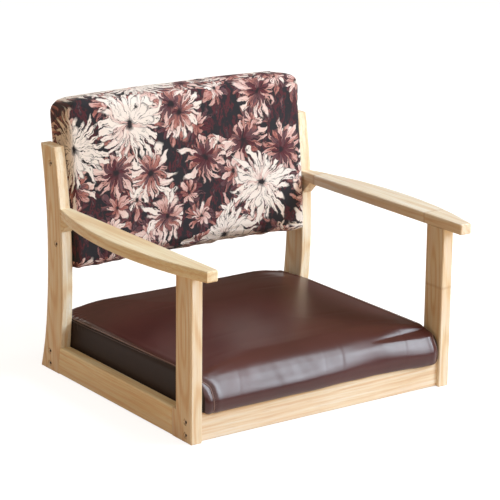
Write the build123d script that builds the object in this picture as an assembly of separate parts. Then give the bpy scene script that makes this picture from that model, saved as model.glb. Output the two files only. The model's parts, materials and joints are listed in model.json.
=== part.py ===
from build123d import *
import os
from math import cos, pi, radians, sin, sqrt

# Legless floor chair. +X is the viewer's right when facing the chair, +Y runs to the rear, +Z is up.
# Depths are measured from the front face of the front posts, and the finished chair is then moved
# so that the origin lies on the floor at the middle of its box. Sizes are in millimetres.

# Side frames
clear_width = 480.0          # between the inner faces of the two side frames
timber = 21.0                # thickness of the side-frame boards
ease = 1.5                   # bevel along the edges of posts and rails

# Rear posts, side profile
post_line = 394.5            # front edge at the waist
post_height = 397.0
waist_height = 218.0         # height of the slimmest place
waist_depth = 48.0
top_depth = 44.0
foot_depth = 58.0
top_lean = 22.0              # how far the front edge runs back at the top
foot_lean = 18.5             # how far the front edge runs back at the floor
knee_height = 91.0           # where the rear edge starts to kick back
knee_kick = 8.0

# Front posts
front_post_depth = 45.0
front_foot_depth = 56.0      # below the top of the side rail

# Armrests
arm_top = 294.0
arm_thick = 18.0
arm_overhang = 43.0          # ahead of the front post
arm_bulge = 32.0             # outward bow beyond the post's outer face
arm_tip_width = 21.0
arm_tip_round = 3.5          # inner corner of the tip, in plan
arm_ease = 1.5
haunch = 20.0                # legs of the fillet block under the rear end

# Rails
rail_lift = 1.0              # clearance under the rails, so that the posts carry the chair
rail_top = 48.0
rail_thick = 22.0
front_rail_setback = 6.0     # behind the front face of the posts
rear_rail_inset = 45.5       # centre of the rear rail, behind the waist of the rear posts

# Flat sides that stand in for round ones on the many fasteners
hidden_sides = 8             # dowels, shanks, nuts and screws
head_sides = 24              # bolt heads and their counterbores

# Glued dowels
glue_gap = 0.1
dowel_radius = 4.0
slim_dowel_radius = 3.0
dowel_depth = 18.0           # in posts and rails
arm_dowel_depth = 11.0       # upright, in the armrest
dowel_pitch = 20.0
slim_dowel_pitch = 9.0

# Socket bolts
bolt_radius = 3.0
bolt_room = 0.2
head_radius = 5.0
head_height = 6.0
head_room = 0.5              # radial clearance in the counterbore
head_sink = 1.2              # head below the outer face
socket_across = 5.0
socket_depth = 3.0
tip_room = 3.0               # drilled beyond a bolt's tip
rail_bolt_bite = 46.0        # into the end of a rail
rail_bolt_low = 12.0
rail_bolt_high = 34.0
barrel_radius = 5.0
barrel_length = 16.0
barrel_distance = 33.0       # nut axis from the end of the rail
back_bolt_bite = 25.0        # into the stile of the back frame
insert_radius = 4.75
insert_length = 15.0

# Seat cleats and screws
cleat_length = 380.0
cleat_depth = 20.0
cleat_height = 20.0
screw_radius = 2.0
screw_head_radius = 4.0
screw_room = 0.1
cleat_screw_pitch = 140.0
cleat_screw_bite = 14.0
seat_screw_spacing = 180.0
seat_screw_bite = 8.0

# Seat pad, heights above the rails
pad_gap = 0.5                # each side, between a pad and the side frames
seat_proud = 6.0             # front of the pad, ahead of the front rail
seat_rear_inset = 5.0        # rear of the pad, ahead of the rear rail's rear face
seat_side_height = 54.0
seat_crown_height = 70.0     # along the middle
seat_cross_crown = 72.0      # arch of the cross-section, which the middle line then trims
seat_front_height = 62.0
seat_rear_height = 60.0
seat_roll = 46.0             # depth of the rolled front edge
seat_lip = 10.0              # height of the foremost point of the roll
seat_edge_round = 10.0
seat_rear_round = 12.0
seat_corner_round = 12.0
seat_draw_in = 1.0           # sides pulled in between the corners
leather = 1.2
seam_inset = 11.0            # seam of the side and rear bands, in from the outline
hem_width = 24.0             # leather turned in under the board
board_thick = 12.0
board_margin = 4.0
dust_cover_thick = 1.0
dust_cover_gap = 0.3

# Back pad, measured square to and along its lean
lean = 6.24                  # degrees
back_bolt_inset = 19.0       # lower bolt, behind the waist of the rear posts
back_bolt_from_top = 29.1    # upper bolt, below the top of the rear posts
back_bolt_pitch = 138.0
back_drop = 44.0             # lower corners, below the lower bolt
back_rise = 244.0            # above the lower bolt
back_front = 34.0            # ahead of the bolts
back_rear = 40.0             # behind the bolts
back_swell = 4.0             # crown of the front and of the rear face, bottom to top
back_cross_swell = 5.0       # the same from side to side
back_cross_rise = 1.5        # how far that arch stands over the first before it is trimmed
back_top_round = 34.0        # top corners, seen from the front
back_bottom_round = 6.0
back_top_swell = 3.0         # arch of the upper edge
back_bottom_hollow = 6.0     # arch of the lower edge
back_edge_round = 14.0
fabric = 1.2
frame_thick = 22.0
frame_width = 45.0
top_padding = 14.0
panel_thick = 4.0
panel_margin = 6.0

# Places that follow from the sizes
inner = clear_width / 2
outer = inner + timber
arm_bottom = arm_top - arm_thick
head_seat = outer - head_height - head_sink
rear_rail_y = post_line + rear_rail_inset
pad_half = inner - pad_gap
seat_front = front_rail_setback - seat_proud
seat_rear = rear_rail_y + rail_thick / 2 - seat_rear_inset
reach = clear_width + post_line + post_height


def block(low, high):
    """Box between two opposite corners."""
    size = [b - a for a, b in zip(low, high)]
    middle = [(a + b) / 2 for a, b in zip(low, high)]
    return Pos(*middle) * Box(*size)


def rod(start, direction, radius, length, sides=hidden_sides):
    """Rod with flat sides that starts at a point and runs along a direction."""
    return extrude(Plane(start, z_dir=direction) * RegularPolygon(radius, sides), amount=length)


def both(solids):
    """The right-hand solids and their mirror images on the left."""
    return solids + [mirror(solid, about=Plane.YZ) for solid in solids]


# Rear post

front_foot = (post_line + foot_lean, 0)
front_waist = (post_line, waist_height)
front_top = (post_line + top_lean, post_height)
rear_foot = (post_line + foot_lean + foot_depth, 0)
rear_waist = (post_line + waist_depth, waist_height)
rear_knee = (post_line + waist_depth + knee_kick, knee_height)
rear_top = (post_line + top_lean + top_depth, post_height)
post_front_edge = ThreePointArc(front_foot, front_waist, front_top)


def post_front_at(height):
    """Depth of the rear post's front edge at a height."""
    centre = post_front_edge.arc_center
    return centre.X - sqrt(post_front_edge.radius ** 2 - (height - centre.Y) ** 2)


def rear_post_blank(low, high):
    """The rear post's profile, squared off between two planes across X."""
    upper = TangentArc(rear_waist, rear_top, tangent=(0, 1))
    lower = TangentArc(rear_waist, rear_knee, tangent=(0, -1))
    kick = TangentArc(rear_knee, rear_foot, tangent=lower % 1)
    ends = [Line(front_top, rear_top), Line(rear_foot, front_foot)]
    profile = make_face([post_front_edge, upper, lower, kick] + ends)
    return extrude(Plane.YZ.offset(low) * profile, amount=high - low, dir=(1, 0, 0))


post_tool = rear_post_blank(inner - timber, outer + timber)

# Bolts and their places

back_bolt_height = post_height - back_bolt_from_top - back_bolt_pitch * cos(radians(lean))
back_plane = Plane(
    (0, post_line + back_bolt_inset, back_bolt_height),
    x_dir=(1, 0, 0),
    z_dir=(0, -cos(radians(lean)), sin(radians(lean))),
)
back_bolt_points = [back_plane.from_local_coords((0, v, 0)) for v in (0, back_bolt_pitch)]
front_bolt_y = front_rail_setback + rail_thick / 2
rail_bolt_heights = (rail_bolt_low, rail_bolt_high)
front_bolt_places = [(front_bolt_y, z) for z in rail_bolt_heights]
rear_bolt_places = [(rear_rail_y, z) for z in rail_bolt_heights]
back_bolt_places = [(point.Y, point.Z) for point in back_bolt_points]


def socket_bolt(place, length):
    """Bolt along X: its head seats in the counterbore of a right-hand post."""
    y, z = place
    head = rod((head_seat, y, z), (1, 0, 0), head_radius, head_height, head_sides)
    shank = rod((head_seat, y, z), (-1, 0, 0), bolt_radius, length)
    socket_plane = Plane((head_seat + head_height, y, z), z_dir=(-1, 0, 0))
    hexagon = socket_plane * RegularPolygon(socket_across / 2, 6, major_radius=False)
    return head + shank - extrude(hexagon, amount=socket_depth)


def bolt_hole(place):
    """Counterbored hole through a right-hand post."""
    y, z = place
    bore = rod((outer, y, z), (-1, 0, 0), bolt_radius + bolt_room, 2 * timber)
    return bore + rod((head_seat, y, z), (1, 0, 0), head_radius + head_room, timber, head_sides)


# Side frame timber, right-hand side

arm_dowel_x = inner + timber / 2
arm_dowel_ys = [front_post_depth / 2 + side * dowel_pitch / 2 for side in (-1, 1)]
slim_dowel_xs = [arm_dowel_x + side * slim_dowel_pitch / 2 for side in (-1, 1)]
slim_dowel_z = arm_bottom + arm_thick / 2
rail_middle = (rail_lift + rail_top) / 2
rail_dowel_zs = [rail_middle + side * dowel_pitch / 2 for side in (-1, 1)]


def arm_dowels(room=0.0):
    """Upright dowels between an armrest and its front post, or their holes."""
    low = arm_bottom - dowel_depth - room
    length = dowel_depth + arm_dowel_depth + 2 * room
    return [rod((arm_dowel_x, y, low), (0, 0, 1), dowel_radius + room, length) for y in arm_dowel_ys]


def slim_dowels(room=0.0):
    """Level dowels between an armrest and its rear post, or their holes."""
    low = post_front_at(slim_dowel_z) - dowel_depth - room
    length = 2 * dowel_depth + 2 * room
    radius = slim_dowel_radius + room
    return [rod((x, low, slim_dowel_z), (0, 1, 0), radius, length) for x in slim_dowel_xs]


def rail_dowels(room=0.0):
    """Level dowels between a side rail and both posts, or their holes."""
    length = 2 * dowel_depth + 2 * room
    rods = []
    for z in rail_dowel_zs:
        for joint in (front_foot_depth, post_front_at(z)):
            start = (arm_dowel_x, joint - dowel_depth - room, z)
            rods.append(rod(start, (0, 1, 0), dowel_radius + room, length))
    return rods


def rear_post():
    post = rear_post_blank(inner, outer)
    post = chamfer(post.faces().filter_by(Axis.X).edges(), ease)
    post -= slim_dowels(glue_gap) + rail_dowels(glue_gap)
    return post - [bolt_hole(place) for place in rear_bolt_places + back_bolt_places]


def front_post():
    outline = Polyline(
        (0, 0),
        (front_foot_depth, 0),
        (front_foot_depth, rail_top),
        (front_post_depth, rail_top),
        (front_post_depth, arm_bottom),
        (0, arm_bottom),
        close=True,
    )
    post = extrude(Plane.YZ.offset(inner) * make_face(outline), amount=timber, dir=(1, 0, 0))
    upright = post.edges().filter_by(Axis.Z).filter_by(lambda edge: edge.length > ease * pi)
    post = chamfer(upright + post.faces().sort_by(Axis.Z)[0].edges(), ease)
    post -= arm_dowels(glue_gap) + rail_dowels(glue_gap)
    return post - [bolt_hole(place) for place in front_bolt_places]


def armrest():
    tip = -arm_overhang
    rear = post_line + waist_depth / 2
    bow_middle = (outer + arm_bulge, (post_line - arm_overhang) / 2)
    bow = ThreePointArc((inner + arm_tip_width, tip), bow_middle, (outer, post_line))
    straight = Polyline((outer, post_line), (outer, rear), (inner, rear), (inner, tip), bow @ 0)
    plan = make_face([bow] + straight.edges())
    plan = fillet(plan.vertices().group_by(Axis.Y)[0].sort_by(Axis.X)[0], arm_tip_round)
    arm = extrude(Pos(0, 0, arm_bottom) * plan, amount=arm_thick)
    rim = arm.faces().filter_by(Axis.Z).edges()
    arm = chamfer(rim.filter_by(lambda edge: edge.center().Y < rear - ease), arm_ease)
    fillet_block = Polyline(
        (post_line - haunch, arm_bottom),
        (post_line + waist_depth / 2, arm_bottom - haunch - waist_depth / 2),
        (post_line + waist_depth / 2, slim_dowel_z),
        (post_line - haunch, slim_dowel_z),
        close=True,
    )
    arm += extrude(Plane.YZ.offset(inner) * make_face(fillet_block), amount=timber, dir=(1, 0, 0))
    return arm - post_tool - arm_dowels(glue_gap) - slim_dowels(glue_gap)


def side_rail():
    low = (inner, front_foot_depth, rail_lift)
    high = (outer, post_line + foot_lean + foot_depth / 2, rail_top)
    rail = block(low, high)
    rail = chamfer(rail.edges().filter_by(Axis.Y), ease)
    return rail - post_tool - rail_dowels(glue_gap)


# Cross rails, cleats and their fasteners

front_rail_inner = front_rail_setback + rail_thick
rear_rail_inner = rear_rail_y - rail_thick / 2
cleat_screw_z = rail_top - cleat_height / 2
cleat_screw_xs = [i * cleat_screw_pitch for i in (-1, 0, 1)]
seat_screw_xs = [i * seat_screw_spacing / 2 for i in (-1, 1)]
rail_bolt_length = head_seat - inner + rail_bolt_bite
back_bolt_length = head_seat - (pad_half - fabric) + back_bolt_bite


def barrel_nuts(y, inward, room=0.0):
    """Cross nuts in the ends of a rail, entered from its inner face, or their holes."""
    face = y + inward * rail_thick / 2
    middle = y + inward * barrel_length / 2
    low = min(y - inward * (barrel_length / 2 + room), face if room else middle)
    high = max(y - inward * (barrel_length / 2 + room), face if room else middle)
    x = inner - barrel_distance
    return [rod((x, low, z), (0, 1, 0), barrel_radius + room, high - low) for z in rail_bolt_heights]


def bored(nuts, places):
    """Nuts with the bore that takes each bolt."""
    bores = [rod((inner, y, z), (-1, 0, 0), bolt_radius + bolt_room, inner) for y, z in places]
    return [nut - bores for nut in nuts]


def wood_screw(point, direction, length, room=0.0):
    """Countersunk screw from its head's face along a direction, or its hole."""
    face = Plane(point, z_dir=direction)
    neck = face.offset(screw_head_radius - screw_radius)
    rims = [face * RegularPolygon(screw_head_radius + room, hidden_sides),
            neck * RegularPolygon(screw_radius + room, hidden_sides)]
    return loft(rims) + rod(point, direction, screw_radius + room, length + room)


def cleat_screws(cleat_face, inward, room=0.0):
    """Screws from a cleat's open face into its rail; inward points from rail to cleat."""
    length = cleat_depth + cleat_screw_bite
    points = [(x, cleat_face, cleat_screw_z) for x in cleat_screw_xs]
    return [wood_screw(point, (0, -inward, 0), length, room) for point in points]


def seat_screws(cleat_middle, room=0.0):
    """Screws from under a cleat into the seat board."""
    length = cleat_height + leather + seat_screw_bite
    points = [(x, cleat_middle, rail_top - cleat_height) for x in seat_screw_xs]
    return [wood_screw(point, (0, 0, 1), length, room) for point in points]


def cross_rail(y, inward, cleat_face):
    """Rail between the side frames, with its bolt, nut and screw holes."""
    low = (-inner, y - rail_thick / 2, rail_lift)
    high = (inner, y + rail_thick / 2, rail_top)
    rail = block(low, high)
    rail = chamfer(rail.edges().filter_by(Axis.X), ease)
    depth = rail_bolt_bite + tip_room
    bores = [rod((outer, y, z), (-1, 0, 0), bolt_radius + bolt_room, timber + depth)
             for z in rail_bolt_heights]
    rail -= both(bores + barrel_nuts(y, inward, glue_gap))
    return rail - cleat_screws(cleat_face, inward, screw_room)


def cleat(rail_face, inward):
    """Batten on a rail's inner face that the seat board is screwed to."""
    face = rail_face + inward * cleat_depth
    low = (-cleat_length / 2, min(rail_face, face), rail_top - cleat_height)
    high = (cleat_length / 2, max(rail_face, face), rail_top)
    middle = rail_face + inward * cleat_depth / 2
    return block(low, high) - cleat_screws(face, inward, screw_room) - seat_screws(middle, screw_room)


# Pads: a form is where three outlines, each drawn square to an axis, meet

def pad_form(outline, side, cross):
    """Solid within an outline in XY, a side profile in YZ and a cross-section in XZ."""
    form = extrude(outline, amount=reach, both=True)
    form &= extrude(Plane.YZ * side, amount=reach, both=True)
    return form & extrude(Plane.XZ * cross, amount=reach, both=True)


def pad_pair(profiles, skin):
    """Outer form of a pad, and the form inside a skin of even thickness."""
    inside = [offset(profile, -skin, kind=Kind.INTERSECTION) for profile in profiles]
    return pad_form(*profiles), pad_form(*inside)


def seat_profiles():
    """Outline, side profile and cross-section of the seat pad, standing on z = 0."""
    half = pad_half
    middle = (seat_front + seat_rear) / 2
    left = ThreePointArc((-half, seat_front), (-half + seat_draw_in, middle), (-half, seat_rear))
    right = ThreePointArc((half, seat_front), (half - seat_draw_in, middle), (half, seat_rear))
    outline = make_face([left, right, Line(left @ 0, right @ 0), Line(left @ 1, right @ 1)])
    outline = fillet(outline.vertices(), seat_corner_round)

    toe = (seat_front + seat_proud, 0)
    nose = (seat_front, seat_lip)
    brow = (seat_front + seat_roll, seat_front_height)
    shoulder = (seat_rear - seat_rear_round, seat_rear_height)
    heel = (seat_rear, seat_rear_height - seat_rear_round)
    side = make_face([
        TangentArc(nose, toe, tangent=(0, -1)),
        TangentArc(nose, brow, tangent=(0, 1)),
        ThreePointArc(brow, (middle, seat_crown_height), shoulder),
        TangentArc(heel, shoulder, tangent=(0, 1)),
        Polyline(heel, (seat_rear, 0), toe),
    ])

    crown = ThreePointArc(
        (-half, seat_side_height), (0, seat_cross_crown), (half, seat_side_height)
    )
    walls = Polyline(crown @ 1, (half, 0), (-half, 0), crown @ 0)
    cross = make_face([crown] + walls.edges())
    cross = fillet(cross.vertices().group_by(Axis.Y)[-1], seat_edge_round)
    return outline, side, cross


def seat_pad():
    """Pieces of the seat pad by node name."""
    form, core = [Pos(0, 0, rail_top) * solid for solid in pad_pair(seat_profiles(), leather)]
    toe = seat_front + seat_proud
    opening = block(
        (-pad_half + hem_width, toe + hem_width, rail_top),
        (pad_half - hem_width, seat_rear - hem_width, rail_top + leather),
    )
    cover = form - core - opening
    margin = leather + board_margin
    board_bottom = rail_top + leather
    board = block(
        (-pad_half + seat_draw_in + margin, toe + margin, board_bottom),
        (pad_half - seat_draw_in - margin, seat_rear - margin, board_bottom + board_thick),
    )
    board = fillet(board.edges().filter_by(Axis.Z), seat_corner_round)
    dust_inset = hem_width + dust_cover_gap
    dust_cover = block(
        (-pad_half + dust_inset, toe + dust_inset, board_bottom - dust_cover_thick),
        (pad_half - dust_inset, seat_rear - dust_inset, board_bottom),
    )
    foam = core - board
    front_middle = front_rail_inner + cleat_depth / 2
    rear_middle = rear_rail_inner - cleat_depth / 2
    holes = seat_screws(front_middle, screw_room) + seat_screws(rear_middle, screw_room)
    seam_x = pad_half - seam_inset
    right_zone = block((seam_x, -reach, 0), (reach, reach, reach))
    left_zone = mirror(right_zone, about=Plane.YZ)
    rear_zone = block((-seam_x, seat_rear - seam_inset, 0), (seam_x, reach, reach))
    return {
        "seat_board": board - holes,
        "seat_foam": foam,
        "seat_dust_cover": dust_cover - holes,
        "seat_top_cover": cover - right_zone - left_zone - rear_zone,
        "seat_left_band": cover & left_zone,
        "seat_right_band": cover & right_zone,
        "seat_rear_band": cover & rear_zone,
    }


def back_profiles():
    """Outline, side profile and cross-section of the back pad, in its leaning frame."""
    half = pad_half
    low, high = -back_drop, back_rise
    top = ThreePointArc((half, high - back_top_swell), (0, high), (-half, high - back_top_swell))
    bottom = ThreePointArc((-half, low), (0, low + back_bottom_hollow), (half, low))
    outline = make_face([top, bottom, Line(top @ 1, bottom @ 0), Line(bottom @ 1, top @ 0)])
    outline = fillet(outline.vertices().group_by(Axis.Y)[-1], back_top_round)
    outline = fillet(outline.vertices().group_by(Axis.Y)[0], back_bottom_round)

    def lens(start, end, swell, rise):
        """Section between two ends with a swelling front and rear face."""
        front_peak = back_front + rise
        rear_peak = -back_rear - rise
        middle = (start + end) / 2
        front = ThreePointArc(
            (start, front_peak - swell), (middle, front_peak), (end, front_peak - swell)
        )
        rear = ThreePointArc((start, rear_peak + swell), (middle, rear_peak), (end, rear_peak + swell))
        face = make_face([front, rear, Line(front @ 0, rear @ 0), Line(front @ 1, rear @ 1)])
        return fillet(face.vertices(), back_edge_round)

    side = lens(low, high, back_swell, 0)
    return outline, side, lens(-half, half, back_cross_swell, back_cross_rise)


def back_pad():
    """Pieces of the back pad by node name, in its leaning frame."""
    form, core = pad_pair(back_profiles(), fabric)
    half = pad_half - fabric
    low = -back_drop + fabric
    high = back_rise - fabric - top_padding
    deep = frame_thick / 2
    joint = half - frame_width

    bolt_holes = []
    for v in (0, back_bolt_pitch):
        nut_depth = pad_gap + fabric + insert_length
        depth = pad_gap + fabric + back_bolt_bite + tip_room
        bolt_holes.append(rod((inner, v, 0), (-1, 0, 0), insert_radius + glue_gap, nut_depth))
        bolt_holes.append(rod((inner, v, 0), (-1, 0, 0), bolt_radius + bolt_room, depth))

    def frame_dowels(room=0.0):
        """Dowels between the stiles and the rails of the back frame, or their holes."""
        length = 2 * arm_dowel_depth + 2 * room
        start = joint - arm_dowel_depth - room
        places = [(v, w) for v in (low + frame_width / 2, high - frame_width / 2)
                  for w in (-slim_dowel_pitch / 2, slim_dowel_pitch / 2)]
        radius = slim_dowel_radius + room
        return both([rod((start, v, w), (1, 0, 0), radius, length) for v, w in places])

    sockets = frame_dowels(glue_gap)
    stile = (block((joint, low, -deep), (half, high, deep)) & core) - bolt_holes - sockets
    top_rail = block((-joint, high - frame_width, -deep), (joint, high, deep)) - sockets
    bottom_rail = (block((-joint, low, -deep), (joint, low + frame_width, deep)) & core) - sockets
    panel_half = half - panel_margin
    panel = block((-panel_half, low + panel_margin, deep), (panel_half, high, deep + panel_thick)) & core
    behind = block((-reach, -reach, -reach), (reach, high, -deep))
    front_zone = block((-reach, -reach, -deep), (reach, high, deep))
    inserts = []
    for v in (0, back_bolt_pitch):
        nut = rod((half, v, 0), (-1, 0, 0), insert_radius, insert_length)
        inserts.append(nut - rod((half, v, 0), (-1, 0, 0), bolt_radius + bolt_room, insert_length))
    return {
        "back_left_stile": mirror(stile, about=Plane.YZ),
        "back_right_stile": stile,
        "back_top_rail": top_rail,
        "back_bottom_rail": bottom_rail,
        "back_frame_dowels": frame_dowels(),
        "back_panel": panel,
        "back_front_foam": core - behind - front_zone - panel,
        "back_rear_foam": core & behind,
        "back_cover": form - core - both(bolt_holes),
        "back_insert_nuts": both(inserts),
    }


def chair():
    """Every node of the chair, as its solids before the move to the origin."""
    nodes = {}
    for name, build in (
        ("front_post", front_post),
        ("rear_post", rear_post),
        ("armrest", armrest),
        ("side_rail", side_rail),
    ):
        nodes["right_" + name] = build()
        nodes["left_" + name] = mirror(nodes["right_" + name], about=Plane.YZ)
    nodes["arm_dowels"] = both(arm_dowels())
    nodes["arm_rear_dowels"] = both(slim_dowels())
    nodes["rail_dowels"] = both(rail_dowels())

    ends = (
        ("front", front_bolt_y, 1, front_rail_inner, front_bolt_places),
        ("rear", rear_rail_y, -1, rear_rail_inner, rear_bolt_places),
    )
    nodes["seat_screws"] = []
    for name, y, inward, rail_face, places in ends:
        cleat_face = rail_face + inward * cleat_depth
        nodes[name + "_rail"] = cross_rail(y, inward, cleat_face)
        nodes[name + "_seat_cleat"] = cleat(rail_face, inward)
        nodes[name + "_cleat_screws"] = cleat_screws(cleat_face, inward)
        nodes[name + "_rail_bolts"] = both([socket_bolt(place, rail_bolt_length) for place in places])
        nodes[name + "_barrel_nuts"] = both(bored(barrel_nuts(y, inward), places))
        nodes["seat_screws"] += seat_screws(rail_face + inward * cleat_depth / 2)
    nodes["back_bolts"] = both([socket_bolt(place, back_bolt_length) for place in back_bolt_places])

    nodes.update(seat_pad())
    for name, piece in back_pad().items():
        pieces = piece if isinstance(piece, list) else [piece]
        nodes[name] = [back_plane * solid for solid in pieces]
    return nodes


def solids_of(piece):
    """Flat list of the solids in a node."""
    pieces = piece if isinstance(piece, list) else [piece]
    return [solid for shape in pieces for solid in shape.solids()]


nodes = {name: Compound(solids_of(piece)) for name, piece in chair().items()}
box = Compound(list(nodes.values())).bounding_box()
to_origin = Pos(0, -(box.min.Y + box.max.Y) / 2, -box.min.Z)

os.makedirs("parts", exist_ok=True)
for name, node in nodes.items():
    export_step(to_origin * node, f"parts/{name}.step")
print(f"{len(nodes)} nodes, box {box.size.X:.1f} x {box.size.Y:.1f} x {box.size.Z:.1f} mm")
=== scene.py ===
"""Looks of the floor chair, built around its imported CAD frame. Lengths are in metres."""
import json
import math
import bmesh
import bpy
import numpy as np
from mathutils import Euler, Matrix, Vector, noise
from mathutils.bvhtree import BVHTree
from mathutils.kdtree import KDTree


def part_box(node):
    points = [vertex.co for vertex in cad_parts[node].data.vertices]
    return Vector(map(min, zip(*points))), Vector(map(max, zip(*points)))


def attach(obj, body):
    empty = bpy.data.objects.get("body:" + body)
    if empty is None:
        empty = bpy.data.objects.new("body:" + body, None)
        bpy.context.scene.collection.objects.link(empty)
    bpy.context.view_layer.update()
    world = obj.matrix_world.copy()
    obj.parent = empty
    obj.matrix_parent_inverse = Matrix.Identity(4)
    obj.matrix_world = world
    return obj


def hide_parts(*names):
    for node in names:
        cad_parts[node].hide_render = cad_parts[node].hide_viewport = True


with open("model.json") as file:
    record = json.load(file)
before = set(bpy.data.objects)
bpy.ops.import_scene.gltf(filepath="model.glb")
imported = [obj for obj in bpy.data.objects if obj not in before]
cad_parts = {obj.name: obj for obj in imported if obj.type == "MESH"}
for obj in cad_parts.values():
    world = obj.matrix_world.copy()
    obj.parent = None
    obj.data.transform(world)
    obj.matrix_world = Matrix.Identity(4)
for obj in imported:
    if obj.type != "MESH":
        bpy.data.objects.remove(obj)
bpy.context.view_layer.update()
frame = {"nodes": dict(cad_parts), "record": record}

# Camera of the photograph: a 500 x 500 frame. The lens and the sensor are in millimetres.
camera_place = (-2.0291, -2.88245, 1.2254)
camera_turn = (74.18527, -0.57053, -34.97899)
camera_lens = 157.08
camera_sensor = 36.0

# Places on the chair
seat_low, seat_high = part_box("seat_top_cover")
seat_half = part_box("seat_right_band")[1].x
rail_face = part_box("front_rail")[0].y
rail_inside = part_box("right_side_rail")[0].x
back_lean = math.radians(6.24)

# Making of the pads
voxel = 0.004                # side of the even squares of their skins
smoothing = 3                # times that the squares are smoothed
cloth_steps = 20
air_pressure = 4.0
seat_swell, back_swell = 0.003, 0.004   # furthest that the cloth simulation moves a skin
seat_held_top = 0.045        # it holds the seat's skin below this height above the seat's bottom
seat_held_side = 0.012       # and this near to the sides
back_held_side, back_held_rear = 0.01, 0.02   # and the back's skin this near to its sides and rear

# Fit of the seat's cover. A pair of lengths is where a change begins and where it is full.
rail_touch = 0.0003          # gap to the side rails, where its sides bulge to them
hem_drop = 0.006             # its sides below the top of the side rails
lip_drop = 0.005             # its front below the top of the front rail
lip_slope = 0.006            # it hangs lower towards the right
lip_wave = (0.25, (0.05, 1, 1), 3.1)    # share by which it wavers, lengths of the waves and a seed
corner_droop = 0.004         # rear corners, where it is pulled down
side_in, side_up, side_behind = (0.03, 0.003), (0.046, 0.008), (0.03, 0.06)
hem_up = (0.01, 0.003)
lip_behind, lip_up = (0.0002, -0.0035), (0.02, 0.001)   # the first is from the rail's face
droop_up, droop_away = (0.02, 0.05), (0.085, 0.005)     # the second is from the rear corner
band_inset = 0.006           # the bands reach this far in from the sides and the rear
band_top = 0.053             # their upper edge, above the bottom of the seat

# Seam of the seat. Heights are above the bottom of the seat.
seam_left, seam_right = 0.2195, 0.232   # its ends on the front, from the middle
seam_foot, seam_bend = 0.001, 0.036     # heights where it starts and where it turns to the sides
seam_height = 0.042          # of the rays that find it on the sides and the rear
seam_rise = 0.72             # slope of those rays
seam_climb = 0.01            # it is this much higher in front than at the rear
seam_level = 0.45            # share of the depth at which it has its mean height
seam_inset = 0.02            # the rays start this far inside the seat
seam_corner = 0.014          # radius of the rear corners of the line where they start
seam_core = 0.045            # the rays to the front start this far behind it
seam_core_shift = 0.01       # and this much further where the seam reaches the side
seam_side = 0.057            # start of the side stretch, behind the front
turn_shares = (0.08, 0.92)   # part of the turn from the front to the side that has rays
turn_power = 1.5             # the turn is slower near the front
front_points, turn_points, side_points, corner_points, rear_points = 14, 12, 70, 14, 40
seam_radius, band_seam_radius = 0.0011, 0.0008
band_seam_drop = 0.0045      # second seam below the first

# Stitches beside the seam
stitch_offset = 0.0042       # from the seam
stitch_share = 0.62          # length, as a share of the step to the next one
stitch_half = 0.00035        # half of the thread's width
stitch_crown = 0.00055       # its middle above the cover
stitch_sink = 0.0002         # its edges below the cover

# Folds of the seat's cover. A hump has a middle and a width, and a rumple a height, lengths and a seed.
seam_puff, seam_sink = 0.0006, 0.0009   # cover beside the seam, and the groove that holds it
puff_hump, sink_hump = (0.009, 0.005), (0, 0.0035)
gather_height, gather_pitch = 0.0011, 0.014
gather_hump = (0.445, 0.026)            # rear corners, along the seam from its ends
gather_away = (0.008, 0.007)            # beside the seam
roll_behind, roll_up = (0.05, 0.02), (0.004, 0.02)
roll_rumples = ((0.0006, (0.05, 0.12, 0.15), 1.7), (0.00025, (0.018, 0.03, 0.03), 5.3))
roll_creases = ((0.041, 0.0003, 0.004), (0.006, 0.00015, 0.0025),
                (0.172, 0.0003, 0.0025), (-0.164, 0.0001, 0.003))   # place, depth and width
crease_lean, crease_level = 0.3, 0.085  # their slant, and the height above the floor of their places
roll_belly, roll_hollow = 0.0045, 0.002  # lower part of the front roll, and the dip above it
belly_hump, hollow_hump = (0.01, 0.012), (0.034, 0.012)
belly_behind, belly_across, hollow_across = (0.07, 0.04), (0.15, -0.08), (-0.22, -0.08)
flank_in = (0.001, 0.016)    # the roll fades towards its two ends

# Pleat in the front right corner of the seat, measured up the roll
pleat_left = 0.1166
pleat_start = 0.0503
pleat_slope = 0.061
pleat_depth = 0.0055
pleat_round = 0.017
pleat_lead, pleat_length = 0.01, 0.1    # it deepens from a little left of its place
pleat_reach = (0.004, 0.016)            # of its lower slope, at the left and added towards the right
pleat_puff, puff_below = 0.0058, (-0.029, 0.015)   # fold below the pleat

# Folds of the back's cover, in its leaning frame
back_rumple = (0.0011, (0.075, 0.06, 0.08), 2.2)
hem_rumple, hem_zone = (0.0018, (0.017, 0.06, 0.05), 4.4), (0.07, 0)   # zones are above the lower edge
hem_wave, wave_zone = (0.0026, (0.024, 1, 1), 7.7), (0.03, 0)
hem_tuck = 0.002             # depth of the long fold above the lower edge
tuck_hump, tuck_across = (0.018, 0.0035), (-0.1, 0.05)
tuck_sway, tuck_waves = 0.006, 19       # its rise and fall, and radians to the metre
corner_lift = 0.0018         # upper corners of the back pad are full, and its top sags between them
crown_zone = (0.07, 0.01)    # below the top
crown_side = (0.85, 1.0)     # shares of the half width at which the corners widen
crown_bow = 0.8              # share of the lift at the corners, and of the sag in the middle
print_wrap = 0.016           # edge over which the print turns to the sides and the top
rear_facing = -0.6           # faces that look further back than this are the rear

# Dust cover under the seat
dust_columns, dust_rows = 60, 56
dust_height = 0.0006         # above the bottom of its CAD node
dust_sag, dust_rumple = 0.0008, 0.0002
dust_waves = (260, 230)      # of the rumples, in radians to the metre


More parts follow.
